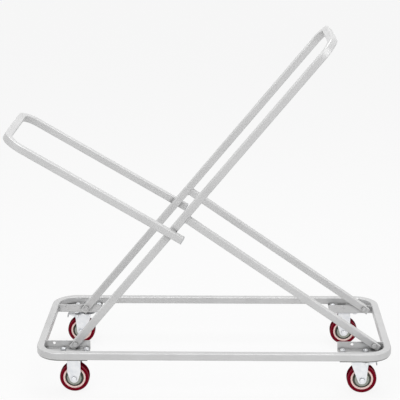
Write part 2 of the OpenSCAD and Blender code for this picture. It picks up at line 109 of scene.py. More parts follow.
def carrier(corner):
    """The body that a caster's fork rides on."""
    return f"swivel_{corner}" if corner in SWIVEL_CORNERS else FRAME_BODY


# Settings


def colour_property(name, note, hex_text):
    return bpy.props.FloatVectorProperty(
        name=name, description=note, default=linear(hex_text), size=4, subtype="COLOR", min=0, max=1
    )


def length_property(name, note, millimetres):
    return bpy.props.FloatProperty(
        name=name, description=note, default=millimetres * MM, subtype="DISTANCE", unit="LENGTH"
    )


class TrolleyFinish(bpy.types.PropertyGroup):
    """Colours of the trolley's materials."""

    paint: colour_property("Paint", "Silver grey powder coat of the frames", "#CECECE")
    paint_worn: colour_property("Paint, worn", "Duller tone where the paint is handled", "#C3C3C3")
    # The edge colour is painted shade on the brackets' cut edges under the ring
    paint_edge: colour_property("Paint, edge", "Thin coat on the brackets' cut edges", "#7C7C7A")
    zinc: colour_property("Zinc", "Bright zinc plate of the casters and bolts", "#F2F3F5")
    zinc_bloom: colour_property("Zinc, bloomed", "Bluish bloom of the passivated plate", "#E1E4E9")
    zinc_worn: colour_property("Zinc, worn", "Steel where shoes rub the pedals", "#929396")
    steel: colour_property("Steel", "Oiled steel of kingpins, balls and bearings", "#A6A9A0")
    tyre: colour_property("Tyre", "Wine red of the cast polyurethane tyres", "#740018")
    tyre_gloss: colour_property("Tyre gloss", "Pink gloss of the tyres' shoulders", "#FFB4BE")
    tyre_tread: colour_property("Tyre tread", "Dark red of the tread, where it rolls", "#3A0810")
    core: colour_property("Wheel core", "Pinkish cream of the moulded wheel cores", "#FFE0D9")
    guard: colour_property("Thread guard", "Dark olive of the thread guards", "#3C4034")
    plug: colour_property("Tube plug", "Grey of the tube plugs", "#AEB0B2")


class TrolleySizes(bpy.types.PropertyGroup):
    """Sizes of what is added to the solids."""

    sheet_edge: length_property("Sheet edge", "Rounding of the cut edges of the sheets", 0.35)
    bead: length_property("Weld bead", "Radius of a weld bead", 2.2)
    ripple: length_property("Weld ripple", "Spacing of the ripples on a weld bead", 2.4)
    hex_flats: length_property("Hexagon", "Width across the flats of bolts and nuts", 13)
    thread: length_property("Thread", "Diameter of the bolts", 8)
    pitch: length_property("Thread pitch", "Pitch of the bolts", 1.25)
    head: length_property("Bolt head", "Height of a bolt head", 5.3)
    nut: length_property("Nut", "Height of a nut", 6.5)
    thread_end: length_property("Thread end", "Length of thread that stands out of a nut", 1)


class TrolleyStage(bpy.types.PropertyGroup):
    """Camera and light."""

    camera_at: bpy.props.FloatVectorProperty(
        name="Camera",
        description="Place of the camera",
        default=(0.0895, -3.8137, 1.6042),
        subtype="XYZ",
    )
    camera_turn: bpy.props.FloatProperty(
        name="Turn", description="Turn of the camera to the left", default=0.0237, subtype="ANGLE"
    )
    camera_tilt: bpy.props.FloatProperty(
        name="Tilt", description="Tilt below the horizon", default=0.272, subtype="ANGLE"
    )
    camera_roll: bpy.props.FloatProperty(
        name="Roll", description="Roll of the camera", default=-0.004, subtype="ANGLE"
    )
    lens: bpy.props.FloatProperty(
        name="Lens", description="Focal length in mm on a 36 mm sensor", default=117.0
    )
    floor: colour_property("Floor", "Plain pale floor", "#E4E4E4")


# Meshes


def new_piece(name, mesh, body, slot, *nodes):
    """Put a finished mesh in the scene, on its body, in place of the CAD nodes it stands for."""
    piece = bpy.data.objects.new(name, mesh)
    bpy.context.scene.collection.objects.link(piece)
    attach(piece, body)
    if nodes:
        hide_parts(*nodes)
    return piece


def smooth(mesh, degrees):
    """Smooth shading, with sharp edges where the faces turn more than that."""
    mesh.shade_smooth()
    mesh.set_sharp_from_angle(angle=math.radians(degrees))
    return mesh


def skin(name, rings, loop, degrees=SHARP):
    """Mesh over closed rings of points. It closes on itself, or has flat ends."""
    bm = bmesh.new()
    rows = [[bm.verts.new(p) for p in ring] for ring in rings]
    count = len(rows[0])
    for i in range(len(rows) if loop else len(rows) - 1):
        low, high = rows[i], rows[(i + 1) % len(rows)]
        for j in range(count):
            k = (j + 1) % count
            bm.faces.new((low[j], low[k], high[k], high[j]))
    if not loop:
        bm.faces.new(rows[0])
        bm.faces.new(rows[-1])
    bmesh.ops.recalc_face_normals(bm, faces=bm.faces)
    mesh = bpy.data.meshes.new(name)
    bm.to_mesh(mesh)
    bm.free()
    return smooth(mesh, degrees)


def joined(name, meshes):
    """One mesh from several."""
    bm = bmesh.new()
    for mesh in meshes:
        bm.from_mesh(mesh)
    whole = bpy.data.meshes.new(name)
    bm.to_mesh(whole)
    bm.free()
    for mesh in meshes:
        bpy.data.meshes.remove(mesh)
    return whole


def eased(node, width, top):
    """Copy of a CAD node's mesh, with its outer cut edges rounded up to a height."""
    same, flat, cut = 0.001 * MM, math.radians(0.5), math.radians(60)
    bm = bmesh.new()
    bm.from_mesh(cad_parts[node].data)
    bmesh.ops.remove_doubles(bm, verts=bm.verts, dist=same)
    bmesh.ops.dissolve_limit(bm, angle_limit=flat, verts=bm.verts, edges=bm.edges)
    outer = [e for e in bm.edges if e.is_convex and e.calc_face_angle(0) > cut]
    low = [e for e in outer if max(v.co.z for v in e.verts) < top]
    bmesh.ops.bevel(
        bm, geom=low, offset=width, segments=2, profile=0.5, affect="EDGES", loop_slide=False
    )
    source = bpy.data.meshes.new(node)
    bm.to_mesh(source)
    bm.free()
    source.shade_smooth()
    return evaluated(node, source, "WEIGHTED_NORMAL")


def evaluated(name, source, kind, settle=None):
    """Plain mesh of what one modifier makes from a mesh, which is used up."""
    holder = bpy.data.objects.new(name, source)
    bpy.context.scene.collection.objects.link(holder)
    modifier = holder.modifiers.new(name, kind)
    if settle:
        settle(modifier)
    seen = holder.evaluated_get(bpy.context.evaluated_depsgraph_get())
    mesh = bpy.data.meshes.new_from_object(seen)
    mesh.name = name
    holder.modifiers.clear()
    bpy.data.objects.remove(holder)
    bpy.data.meshes.remove(source)
    return mesh


def arc(centre, r, start, end, steps):
    """Points of an arc in a profile, from one angle to another in degrees."""
    turns = [math.radians(start + (end - start) * i / steps) for i in range(steps + 1)]
    return [(centre[0] + r * math.cos(t), centre[1] + r * math.sin(t)) for t in turns]


def eased_profile(points, r, steps=3):
    """A closed profile whose corners are all rounded, by less than half of each side."""
    made, side_share = [], 1 / 2.2
    for i, here in enumerate(points):
        here = Vector(here)
        back, ahead = Vector(points[i - 1]) - here, Vector(points[(i + 1) % len(points)]) - here
        reach = min(r, back.length * side_share, ahead.length * side_share)
        a, b = here + back.normalized() * reach, here + ahead.normalized() * reach
        for s in range(steps + 1):
            t = s / steps
            made.append(tuple(a * (1 - t) ** 2 + here * 2 * t * (1 - t) + b * t**2))
    return made


def turned(name, profile, centre, steps=96, degrees=SHARP):
    """A closed profile of radius and width, turned round an axis along Y."""
    rings = []
    for i in range(steps):
        a = 2 * math.pi * i / steps
        rings.append([centre + Vector((r * math.cos(a), y, r * math.sin(a))) for r, y in profile])
    return skin(name, rings, True, degrees)


# Nodes

# Kinds of node that come often, and the settings of two of them
MATH, RANGE, MIX = "ShaderNodeMath", "ShaderNodeMapRange", "ShaderNodeMix"
NOISE, BUMP = "ShaderNodeTexNoise", "ShaderNodeBump"
COLOURS = {"data_type": "RGBA"}
DARKEN = {"data_type": "RGBA", "blend_type": "MULTIPLY"}


def add(tree, kind, inputs=None, **settings):
    """Add a node with its settings, and set its inputs or link them.

    A node that is given as an input is linked by the first of its outputs that is in use.
    """
    made = tree.nodes.new(kind)
    for name, value in settings.items():
        setattr(made, name, value)
    for name, value in (inputs or {}).items():
        if isinstance(value, bpy.types.Node):
            value = next(output for output in value.outputs if output.enabled)
        if isinstance(value, bpy.types.NodeSocket):
            tree.links.new(value, made.inputs[name])
        else:
            made.inputs[name].default_value = value
    return made


# Materials


def new_material(name):
    """An empty material, its tree and the piece's own coordinates."""
    material = bpy.data.materials.new(name)
    material.use_nodes = True
    tree = material.node_tree
    tree.nodes.clear()
    return material, tree, add(tree, "ShaderNodeTexCoord").outputs["Object"]


def finished(material, looks):
    """The material, with its surface set to those looks."""
    surface = add(material.node_tree, "ShaderNodeBsdfPrincipled", looks)
    add(material.node_tree, "ShaderNodeOutputMaterial", {"Surface": surface})
    return material


def per_metre(millimetres):
    """Texture scale of a pattern of that size."""
    return 1 / (millimetres * MM)


def facing(tree, axis):
    """How far the surface faces along one of the piece's own axes."""
    normal = add(tree, "ShaderNodeTexCoord").outputs["Normal"]
    return add(tree, "ShaderNodeSeparateXYZ", {"Vector": normal}).outputs[axis]


def painted_corner_shade(tree, reach_mm, darkest):
    """Painted shade: share of the colour that is left in tight corners, where nearby faces shade
    them.
    """
    near = add(tree, "ShaderNodeAmbientOcclusion", {"Distance": reach_mm * MM}, samples=8)
    ends = {"From Min": 0.3, "From Max": 0.95, "To Min": darkest}
    return add(tree, RANGE, {"Value": near.outputs["AO"], **ends})


def edge_shade_mask(tree, place):
    """1 on the upright faces at the height of the brackets' webs: the sheets' cut edges, where
    painted shade goes.
    """
    middle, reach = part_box("bracket_front_left")[0].z + SHEET / 2, 0.46 * SHEET
    height = add(tree, "ShaderNodeSeparateXYZ", {"Vector": place}).outputs["Z"]
    level = add(tree, MATH, {0: height, 1: middle, 2: reach}, operation="COMPARE")
    upright = add(tree, MATH, {0: facing(tree, "Z"), 1: 0.0, 2: 0.5}, operation="COMPARE")
    return add(tree, MATH, {0: level, 1: upright}, operation="MULTIPLY")


def powder_coat(finish):
    """Silver grey powder coat: satin, with a fine orange peel and duller patches."""
    material, tree, place = new_material(PAINT[0])
    # Patches of 90 mm where handling has dulled the coat
    patch = add(tree, NOISE, {"Vector": place, "Scale": per_metre(90), "Detail": 4.0})
    dulled = add(tree, RANGE, {"Value": patch, "From Min": 0.42, "From Max": 0.72, "To Max": 0.7})
    inputs = {"Factor": dulled, "A": finish.paint, "B": finish.paint_worn}
    tone = add(tree, MIX, inputs, **COLOURS)
    # Aluminium flake in the powder, drawn at 0.7 mm because the real 0.05 mm is too fine to show
    flake = add(tree, "ShaderNodeTexVoronoi", {"Vector": place, "Scale": per_metre(0.7)})
    inputs = {"Value": flake.outputs["Color"], "To Min": 0.98, "To Max": 1.02}
    glint = add(tree, RANGE, inputs)
    tone = add(tree, MIX, {"Factor": 1.0, "A": tone, "B": glint}, **DARKEN)
    # Painted shade in the corners draws the joints between tubes and brackets as dark lines
    corner_shade = painted_corner_shade(tree, 12, 0.2)
    tone = add(tree, MIX, {"Factor": 1.0, "A": tone, "B": corner_shade}, **DARKEN)
    # Painted shade: a dark line on the brackets' cut edges under the ring, where the ring shades
    # them
    inputs = {"Factor": edge_shade_mask(tree, place), "A": tone, "B": finish.paint_edge}
    tone = add(tree, MIX, inputs, **COLOURS)
    # Orange peel, 3 mm from wave to wave, which breaks up the highlights
    peel = add(tree, NOISE, {"Vector": place, "Scale": per_metre(3), "Detail": 2.0})
    ends = {"From Min": 0.3, "From Max": 0.75, "To Min": 0.3, "To Max": 0.46}
    looks = {
        "Base Color": tone,
        "Roughness": add(tree, RANGE, {"Value": patch, **ends}),
        "Normal": add(tree, BUMP, {"Height": peel, "Strength": 0.14, "Distance": 0.12 * MM}),
        "Metallic": 0.25,
        "Specular IOR Level": 0.5,
        "Coat Weight": 0.15,
        "Coat Roughness": 0.2,
    }
    return finished(material, looks)


def zinc_plate(finish):
    """Bright zinc on pressed steel: a white metal with bluish bloom and faint rolling lines."""
    material, tree, place = new_material(ZINC[0])
    # Cloudy bloom, some 14 mm wide, that keeps the white metal from looking flat
    bloom = add(tree, NOISE, {"Vector": place, "Scale": per_metre(14), "Detail": 3.0})
    share = add(tree, RANGE, {"Value": bloom, "From Min": 0.4, "From Max": 0.7, "To Max": 0.8})
    tone = add(tree, MIX, {"Factor": share, "A": finish.zinc, "B": finish.zinc_bloom}, **COLOURS)
    # Grey steel on the pedals' ends, which the mark on their points gives
    rubbed = add(tree, "ShaderNodeAttribute", attribute_name="rubbed").outputs["Fac"]
    tone = add(tree, MIX, {"Factor": rubbed, "A": tone, "B": finish.zinc_worn}, **COLOURS)
    # Painted shade round the bolt heads and in the folds of the forks
    fold_shade = painted_corner_shade(tree, 7, 0.42)
    tone = add(tree, MIX, {"Factor": 1.0, "A": tone, "B": fold_shade}, **DARKEN)
    # Rolling lines, 0.6 mm apart and long along the sheet, that draw out the highlights
    along = add(tree, "ShaderNodeMapping", {"Vector": place, "Scale": (1.0, 1.0, 0.06)})
    lines = add(tree, NOISE, {"Vector": along, "Scale": per_metre(0.6), "Detail": 2.0})
    ends = {"From Min": 0.3, "From Max": 0.7, "To Min": 0.3, "To Max": 0.42}
    looks = {
        "Base Color": tone,
        "Roughness": add(tree, RANGE, {"Value": lines, **ends}),
        "Normal": add(tree, BUMP, {"Height": lines, "Strength": 0.12, "Distance": 0.03 * MM}),
        "Metallic": 1.0,
    }
    return finished(material, looks)


def oiled_steel(finish):
    """Ground and oiled steel: a darker grey metal."""
    material, tree, place = new_material(OILED[0])
    # A film of oil in spots of 4 mm, which makes the tone and the gloss uneven
    film = add(tree, NOISE, {"Vector": place, "Scale": per_metre(4), "Detail": 3.0})
    inputs = {"Color": finish.steel, "Value": film, "Fac": 0.3}
    ends = {"From Min": 0.3, "From Max": 0.7, "To Min": 0.16, "To Max": 0.36}
    looks = {
        "Base Color": add(tree, "ShaderNodeHueSaturation", inputs),
        "Roughness": add(tree, RANGE, {"Value": film, **ends}),
        "Metallic": 1.0,
    }
    return finished(material, looks)


def cast_polyurethane(finish):
    """Cast polyurethane: deep wine red, with a polished shoulder and a dark, duller tread."""
    material, tree, place = new_material(TYRE[0])
    # Scuffs of 6 mm on the tread, which darken and roughen it
    scuff = add(tree, NOISE, {"Vector": place, "Scale": per_metre(6), "Detail": 5.0})
    tread = add(tree, "ShaderNodeAttribute", attribute_name="tread").outputs["Fac"]
    worn = add(tree, MATH, {0: tread, 1: scuff}, operation="MULTIPLY")
    ends = {"From Max": 0.6, "To Min": 0.22, "To Max": 0.36}
    rough = add(tree, RANGE, {"Value": worn, **ends})
    # Slight waviness of a casting, and the scuffs
    waves = add(tree, MATH, {0: scuff, 1: worn}, operation="ADD")
    # The rounded shoulder takes a polish from the mould and draws a bright streak. The sides and
    # the tread stay dull, so that the pale stage doesn't veil the deep red.
    across = add(tree, MATH, {0: facing(tree, "Y")}, operation="ABSOLUTE")
    ends = {"From Min": 0.35, "From Max": 0.7, "To Max": 0.8}
    from_tread = add(tree, RANGE, {"Value": across, **ends})
    ends = {"From Min": 0.85, "From Max": 0.97, "To Min": 1.0, "To Max": 0.08}
    to_side = add(tree, RANGE, {"Value": across, **ends})
    inputs = {"Factor": worn, "A": finish.tyre, "B": finish.tyre_tread}
    looks = {
        "Base Color": add(tree, MIX, inputs, **COLOURS),
        "Roughness": rough,
        "Normal": add(tree, BUMP, {"Height": waves, "Strength": 0.15, "Distance": 0.15 * MM}),
        "Specular IOR Level": add(tree, MATH, {0: from_tread, 1: to_side}, operation="MULTIPLY"),
        "Specular Tint": finish.tyre_gloss,
        "IOR": 1.5,
        "Subsurface Weight": 0.05,
        "Subsurface Radius": (0.004, 0.001, 0.001),
    }
    return finished(material, looks)


def moulded_plastic(name, colour, grain_mm, roughness, ior):
    """Moulded plastic with a fine spark-eroded grain."""
    material, tree, place = new_material(name)
    # Clouds of 9 mm, which make the colour and the gloss slightly uneven
    cloud = add(tree, NOISE, {"Vector": place, "Scale": per_metre(9), "Detail": 3.0})
    grain = add(tree, NOISE, {"Vector": place, "Scale": per_metre(grain_mm), "Detail": 1.0})
    uneven = {"Value": cloud, "From Min": 0.3, "From Max": 0.7}
    value = add(tree, RANGE, {**uneven, "To Min": 0.94, "To Max": 1.04})
    ends = {"To Min": roughness[0], "To Max": roughness[1]}
    looks = {
        "Base Color": add(tree, "ShaderNodeHueSaturation", {"Color": colour, "Value": value}),
        "Roughness": add(tree, RANGE, {**uneven, **ends}),
        "Normal": add(tree, BUMP, {"Height": grain, "Strength": 0.2, "Distance": 0.05 * MM}),
        "IOR": ior,
    }
    return finished(material, looks)


def finish_of(name):
    """The material of that name, made when it is first asked for."""
    finish = bpy.context.scene.trolley_finish
    makers = {
        PAINT[0]: lambda: powder_coat(finish),
        ZINC[0]: lambda: zinc_plate(finish),
        OILED[0]: lambda: oiled_steel(finish),
        TYRE[0]: lambda: cast_polyurethane(finish),
        CORE[0]: lambda: moulded_plastic(name, finish.core, 0.8, (0.36, 0.5), 1.53),
        GUARD[0]: lambda: moulded_plastic(name, finish.guard, 0.6, (0.42, 0.58), 1.49),
        PLUG: lambda: moulded_plastic(name, finish.plug, 0.9, (0.46, 0.6), 1.51),
    }
    return bpy.data.materials.get(name) or makers[name]()


def dress(nodes, material_name):
    """Give CAD nodes that stay a finish."""
    for name in nodes:
        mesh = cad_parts[name].data
        mesh.materials.clear()
        mesh.materials.append(finish_of(material_name))


# Geometry node trees


def new_tree(name, sockets):
    """An empty geometry tree with a geometry input and output and named inputs."""
    tree = bpy.data.node_groups.new(name, "GeometryNodeTree")
    for label, kind in {"Geometry": "Geometry", **sockets, "Material": "Material"}.items():
        tree.interface.new_socket(label, in_out="INPUT", socket_type=f"NodeSocket{kind}")
    tree.interface.new_socket("Geometry", in_out="OUTPUT", socket_type="NodeSocketGeometry")
    return tree, add(tree, "NodeGroupInput").outputs


def end_tree(tree, given, geometry):
    """Make a tree's result real faces in its material."""
    real = add(tree, "GeometryNodeRealizeInstances", {"Geometry": geometry})
    inputs = {"Geometry": real, "Material": given["Material"]}
    add(tree, "NodeGroupOutput", {"Geometry": add(tree, "GeometryNodeSetMaterial", inputs)})
    return tree


def grown(name, source, tree, values):
    """Plain mesh of what a tree makes from a mesh, with its inputs set by name."""

    def settle(modifier):
        modifier.node_group = tree
        for item in tree.interface.items_tree:
            if item.in_out == "INPUT" and item.name in values:
                modifier[item.identifier] = values[item.name]

    return evaluated(name, source, "NODES", settle)


def bead_tree():
    """Weld bead along edges: a rippled round that thins out at its ends."""
    tree, given = new_tree(BEAD_TREE, {"Bead Radius": "Float", "Ripple Spacing": "Float"})
    bead, ripple = given["Bead Radius"], given["Ripple Spacing"]
    ripple_cuts, end_share, dip_share, sides = 5.0, 0.45, 0.86, 10
    line = add(tree, "GeometryNodeMeshToCurve", {"Mesh": given["Geometry"]})
    step = add(tree, MATH, {0: ripple, 1: ripple_cuts}, operation="DIVIDE")
    inputs = {"Curve": line, "Length": step}
    fine = add(tree, "GeometryNodeResampleCurve", inputs, mode="LENGTH")
    along = add(tree, "GeometryNodeSplineParameter").outputs["Length"]
    whole = add(tree, "GeometryNodeSplineLength")
    left = add(tree, MATH, {0: whole, 1: along}, operation="SUBTRACT")
    near = add(tree, MATH, {0: along, 1: left}, operation="MINIMUM")
    thinned = add(tree, RANGE, {"Value": near, "From Max": bead, "To Min": end_share})
    closed = add(tree, "GeometryNodeInputSplineCyclic")
    inputs = {"Switch": closed, "False": thinned, "True": 1.0}
    ends = add(tree, "GeometryNodeSwitch", inputs, input_type="FLOAT")
    count = add(tree, MATH, {0: along, 1: ripple}, operation="DIVIDE")
    saw = add(tree, MATH, {0: count}, operation="FRACT")
    dips = add(tree, RANGE, {"Value": saw, "To Min": 1.0, "To Max": dip_share})
    shape = add(tree, MATH, {0: ends, 1: dips}, operation="MULTIPLY")
    inputs = {"Resolution": sides, "Radius": 1.0}
    section = add(tree, "GeometryNodeCurvePrimitiveCircle", inputs, mode="RADIUS")
    radius = add(tree, MATH, {0: shape, 1: bead}, operation="MULTIPLY")
    inputs = {"Curve": fine, "Profile Curve": section, "Scale": radius, "Fill Caps": True}
    return end_tree(tree, given, add(tree, "GeometryNodeCurveToMesh", inputs))


def fastener_tree():
    """The same fastener at every point, aimed along the point's own angles and spun at random."""
    tree, given = new_tree(FASTENER_TREE, {"Fastener": "Object", "Seed": "Int"})
    inputs = {"Object": given["Fastener"], "As Instance": True}
    shape = add(tree, "GeometryNodeObjectInfo", inputs, transform_space="ORIGINAL")
    aim = add(tree, "GeometryNodeInputNamedAttribute", {"Name": "aim"}, data_type="FLOAT_VECTOR")
    turn = add(tree, "FunctionNodeEulerToRotation", {"Euler": aim})
    inputs = {"Min": (0.0, 0.0, 0.0), "Max": (0.0, 0.0, 2 * math.pi), "Seed": given["Seed"]}
    spin = add(tree, "FunctionNodeRandomValue", inputs, data_type="FLOAT_VECTOR")
    spun = add(tree, "FunctionNodeEulerToRotation", {"Euler": spin})
    inputs = {"Rotation": turn, "Rotate By": spun}
    both = add(tree, "FunctionNodeRotateRotation", inputs, rotation_space="LOCAL")
    inputs = {
        "Points": given["Geometry"],
        "Instance": shape.outputs["Geometry"],
        "Rotation": both,
    }
    return end_tree(tree, given, add(tree, "GeometryNodeInstanceOnPoints", inputs))


# Fasteners

HEX_STEPS = 48
CHAMFER_SHARE = 0.93
CHAMFER_SLOPE = math.tan(math.radians(28))
THREAD_SHARE = 0.55


def circle_ring(r, z):
    """Level ring of a radius at one height."""
    turns = [2 * math.pi * i / HEX_STEPS for i in range(HEX_STEPS)]
    return [Vector((r * math.cos(t), r * math.sin(t), z)) for t in turns]


def hex_ring(flats, z, drop):
    """Ring round a hexagon, whose corners drop to the chamfer's cone."""
    made = []
    for i in range(HEX_STEPS):
        t = 2 * math.pi * i / HEX_STEPS
        r = flats / 2 / math.cos(t % (math.pi / 3) - math.pi / 6)
        fall = drop * (r - CHAMFER_SHARE * flats / 2) * CHAMFER_SLOPE
        made.append(Vector((r * math.cos(t), r * math.sin(t), z - fall)))
    return made


def thread_ring(sizes, z):
    """Ring round a thread's helix at one height."""
    depth = THREAD_SHARE * sizes.pitch
    made = []
    for i in range(HEX_STEPS):
        t = 2 * math.pi * i / HEX_STEPS
        phase = (z / sizes.pitch - i / HEX_STEPS) % 1
        r = sizes.thread / 2 - depth * abs(2 * phase - 1)
        made.append(Vector((r * math.cos(t), r * math.sin(t), z)))
    return made


def bolt_mesh(sizes, grip):
    """Hexagon bolt along +Z, with the underside of its head at the origin."""
    top, step, middle_share = -sizes.head, sizes.pitch / 6, 0.6
    under, point = 0.25 * MM, 0.9 * MM
    face = CHAMFER_SHARE * sizes.hex_flats / 2
    end = grip + sizes.nut + sizes.thread_end
    start = grip + sizes.nut - sizes.pitch
    steps = math.ceil((end - start) / step)
    rings = [
        circle_ring(face * middle_share, top),
        circle_ring(face, top),
        hex_ring(sizes.hex_flats, top, -1),
        hex_ring(sizes.hex_flats, -under, 0),
        circle_ring(face, 0),
        circle_ring(sizes.thread / 2, 0),
        circle_ring(sizes.thread / 2, start - sizes.pitch),
    ]
    rings += [thread_ring(sizes, start + (end - start) * i / steps) for i in range(steps)]
    rings += [circle_ring(sizes.thread / 2 - point, end)]
    return skin("hex_bolt", rings, False)


def nut_mesh(sizes):
    """Hexagon nut along +Z from the origin, chamfered on both faces."""
    face = CHAMFER_SHARE * sizes.hex_flats / 2
    play, sink = 0.05 * MM, 0.5 * MM
    bore = sizes.thread / 2 + play
    rings = [
        circle_ring(bore, sink),
        circle_ring(bore + sink, 0),
        circle_ring(face, 0),
        hex_ring(sizes.hex_flats, 0, -1),
        hex_ring(sizes.hex_flats, sizes.nut, 1),
        circle_ring(face, sizes.nut),
        circle_ring(bore + sink, sizes.nut),
        circle_ring(bore, sizes.nut - sink),
    ]
    return skin("hex_nut", rings, True)


def fasteners(name, shape, places, body, seed, finish, *nodes):
    """One piece of like fasteners at places, each a point and its angles."""
    material, slot = finish
    source = bpy.data.meshes.new(name)
    source.from_pydata([p for p, _ in places], [], [])
    aim = source.attributes.new("aim", "FLOAT_VECTOR", "POINT")
    aim.data.foreach_set("vector", [a for _, angles in places for a in angles])
    model = bpy.data.objects.new(f"{name}_shape", shape)
    bpy.context.scene.collection.objects.link(model)
    tree = bpy.data.node_groups.get(FASTENER_TREE) or fastener_tree()
    values = {"Fastener": model, "Seed": seed, "Material": finish_of(material)}
    mesh = smooth(grown(name, source, tree, values), SHARP)
    bpy.data.objects.remove(model)
    bpy.data.meshes.remove(shape)
    return new_piece(name, mesh, body, slot, *nodes)


# Sheets and places


def sheet_part(node, body, finish, sizes, crown=0.0):
    """Cut and folded sheet in place of its CAD node, its edges rounded below its crown."""
    material, slot = finish
    mesh = eased(node, sizes.sheet_edge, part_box(node)[1].z + MM - crown)
    mesh.materials.clear()
    mesh.materials.append(finish_of(material))
    new_piece(f"{node}_eased", mesh, body, slot, node)
    return mesh


def tube_width():
    """Width of the square tube, which all the frames share."""
    low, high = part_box("base_ring")
    return high.z - low.z


def feet():
    """Bolt points of the frame feet, in X and Z: the seat frame's and the braces'."""
    low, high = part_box("base_ring")
    tube = tube_width()
    hole_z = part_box("bracket_front_left")[1].z - FLANGE_HOLE_DROP
    seat_x, brace_x = low.x + tube + SEAT_FOOT_INSET, high.x - tube - BRACE_FOOT_INSET
    return Vector((seat_x, hole_z)), Vector((brace_x, hole_z))


def slopes():
    """Directions of the seat frame, the back frame and the braces, in X and Z."""
    return (
        Vector((math.cos(SEAT_SLOPE), math.sin(SEAT_SLOPE))),
        Vector((-math.cos(BACK_SLOPE), math.sin(BACK_SLOPE))),
        Vector((-math.cos(BRACE_SLOPE), math.sin(BRACE_SLOPE))),
    )


# Operators


class TROLLEY_OT_coat_frames(bpy.types.Operator):
    """Powder coat the tube frames and the corner brackets"""

    bl_idname = "trolley.coat_frames"
    bl_label = "Coat frames"

    def execute(self, context):
        dress(TUBE_FRAMES, PAINT[0])
        for corner in CORNERS:
            sheet_part(f"bracket_{corner}", FRAME_BODY, PAINT, context.scene.trolley_sizes)
        return {"FINISHED"}


class TROLLEY_OT_plate_casters(bpy.types.Operator):
    """Zinc plate the caster plates and forks, and oil the steel in the swivel heads"""

    bl_idname = "trolley.plate_casters"
    bl_label = "Plate casters"

    def execute(self, context):
        sizes = context.scene.trolley_sizes
        for corner in CORNERS:
            sheet_part(f"plate_{corner}", FRAME_BODY, ZINC, sizes)
            # The folds round a swivel fork's crown keep their CAD edges
            crown = FORK_CROWN if corner in SWIVEL_CORNERS else 0.0
            sheet_part(f"fork_{corner}", carrier(corner), ZINC, sizes, crown)
        for corner in SWIVEL_CORNERS:
            pedal = sheet_part(f"brake_{corner}", f"brake_{corner}", ZINC, sizes)
            self.rub_end(pedal, corner)
        dress([f"brake_pin_{c}" for c in SWIVEL_CORNERS] + ["caster_washers"], ZINC[0])
        dress([f"{part}_{c}" for part in ("kingpin", "balls") for c in SWIVEL_CORNERS], OILED[0])
        dress([f"sleeve_{c}" for c in CORNERS], OILED[0])
        return {"FINISHED"}

    def rub_end(self, pedal, corner):
        """Mark the pedal's turned down end, away from the plate, where shoes rub it."""
        pedal_box, plate_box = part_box(f"brake_{corner}"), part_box(f"plate_{corner}")
        middle = (plate_box[0].x + plate_box[1].x) / 2
        end = max((pedal_box[0].x, pedal_box[1].x), key=lambda x: abs(x - middle))
        rubbed = pedal.attributes.new("rubbed", "FLOAT", "POINT")
        for value, vertex in zip(rubbed.data, pedal.vertices):
            value.value = float(abs(vertex.co.x - end) < SHEET)


class TROLLEY_OT_fit_plugs(bpy.types.Operator):
    """Fit the plugs in the rails' open ends"""

    bl_idname = "trolley.fit_plugs"
    bl_label = "Fit plugs"

    def execute(self, context):
        dress(["rail_plugs"], PLUG)
        return {"FINISHED"}


class TROLLEY_OT_fit_bolts(bpy.types.Operator):
    """Fit the bolts and nuts of the casters, the frame feet and the axles"""

    bl_idname = "trolley.fit_bolts"
    bl_label = "Fit bolts"

    def execute(self, context):
        sizes = context.scene.trolley_sizes
        self.caster_bolts(sizes)
        self.foot_bolts(sizes)
        self.axle_bolts(sizes)
        return {"FINISHED"}

    def caster_bolts(self, sizes):
        half_x, half_y = (span / 2 for span in CASTER_HOLES)
        washer_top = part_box("caster_washers")[1].z
        heads, nuts = [], []
        for corner in CORNERS:
            low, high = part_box(f"plate_{corner}")
            for x in (-1, 1):
                for y in (-1, 1):
                    at = (low + high) / 2 + Vector((x * half_x, y * half_y, 0))
                    heads.append(((at.x, at.y, high.z - SHEET), (0, 0, 0)))
                    nuts.append(((at.x, at.y, washer_top), (0, 0, 0)))
        grip = washer_top - heads[0][0][2]
        shape, seeds = bolt_mesh(sizes, grip), CASTER_SEEDS
        fasteners("caster_bolts_hex", shape, heads, FRAME_BODY, seeds[0], ZINC, "caster_bolts")
        shape = nut_mesh(sizes)
        fasteners("caster_nuts_hex", shape, nuts, FRAME_BODY, seeds[1], ZINC, "caster_nuts")

    def foot_bolts(self, sizes):
        heads, nuts = [], []
        tube = tube_width()
        for side in (-1, 1):
            leg_y = side * (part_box("seat_frame")[1].y - tube / 2)
            aim = (side * math.pi / 2, 0, 0)
            for x, z in feet():
                heads.append(((x, leg_y + side * tube / 2, z), aim))
                nuts.append(((x, leg_y - side * tube / 2, z), aim))
        shape, seeds = bolt_mesh(sizes, tube), FOOT_SEEDS
        fasteners("foot_bolts_hex", shape, heads, FRAME_BODY, seeds[0], PAINT, "foot_bolts")
        shape = nut_mesh(sizes)
        fasteners("foot_nuts_hex", shape, nuts, FRAME_BODY, seeds[1], PAINT, "foot_nuts")

    def axle_bolts(self, sizes):
        aim = (-math.pi / 2, 0, 0)
        for i, corner in enumerate(CORNERS):
            low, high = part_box(f"fork_{corner}")
            hub = sum(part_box(f"tyre_{corner}"), Vector()) / 2
            head = [((hub.x, low.y, hub.z), aim)]
            nut = [((hub.x, high.y, hub.z), aim)]
            body, seeds = carrier(corner), [first + i for first in AXLE_SEEDS]
            shape, node = bolt_mesh(sizes, high.y - low.y), f"axle_{corner}"
            fasteners(f"axle_hex_{corner}", shape, head, body, seeds[0], ZINC, node)
            shape, node = nut_mesh(sizes), f"axle_nut_{corner}"
            fasteners(f"axle_nut_hex_{corner}", shape, nut, body, seeds[1], ZINC, node)


